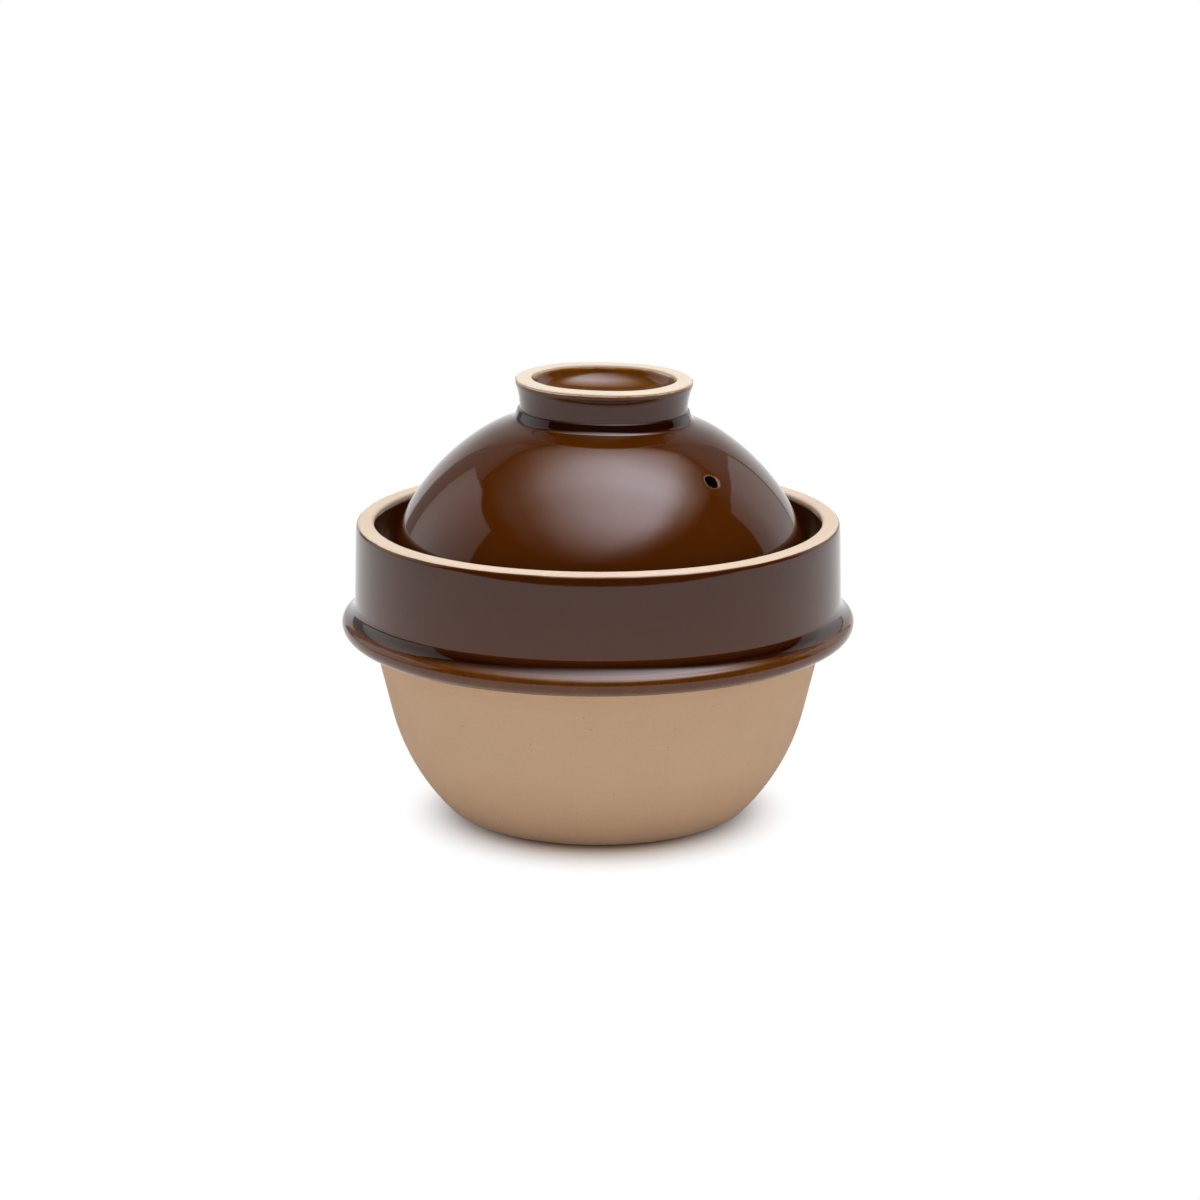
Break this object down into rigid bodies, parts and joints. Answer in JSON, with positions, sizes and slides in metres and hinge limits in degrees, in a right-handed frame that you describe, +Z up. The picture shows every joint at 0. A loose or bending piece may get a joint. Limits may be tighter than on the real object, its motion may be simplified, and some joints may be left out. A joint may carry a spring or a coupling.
{
  "type": "clay rice cooker",
  "caption": "Round-bellied clay pot with a flange and high collar, and a loose domed lid that sits inside the collar, with a ring knob and a steam hole",
  "frame": {"origin": "middle of the base, on the table", "axes": "+Z up along the pot's axis; -Y is the side that faces the viewer; the steam hole is to the front right"},
  "size_m": [0.156, 0.156, 0.1325],
  "materials": {
    "pot_bowl": "bare, fine and matt",
    "pot_collar": "bare, fine and matt",
    "pot_flange": "bare, fine and matt",
    "collar_glaze": "glossy amber brown",
    "collar_inner_glaze": "glossy amber brown",
    "bowl_glaze": "glossy amber brown",
    "lid_dome": "bare, fine and matt",
    "knob_ring": "bare, fine and matt",
    "lid_glaze": "glossy amber brown",
    "knob_well_glaze": "glossy amber brown",
    "lid_inner_glaze": "glossy amber brown"
  },
  "bodies": {
    "pot": {"pot_bowl": "pot_bowl", "pot_collar": "pot_collar", "pot_flange": "pot_flange", "collar_glaze": "collar_glaze", "collar_inner_glaze": "collar_inner_glaze", "bowl_glaze": "bowl_glaze"},
    "lid": {"lid_dome": "lid_dome", "knob_ring": "knob_ring", "lid_glaze": "lid_glaze", "knob_well_glaze": "knob_well_glaze", "lid_inner_glaze": "lid_inner_glaze"}
  },
  "joints": [
    {"name": "lid_lift", "type": "slide", "parent": "pot", "child": "lid", "axis": [0, 0, 1], "range_m": [0, 0.1]}
  ]
}
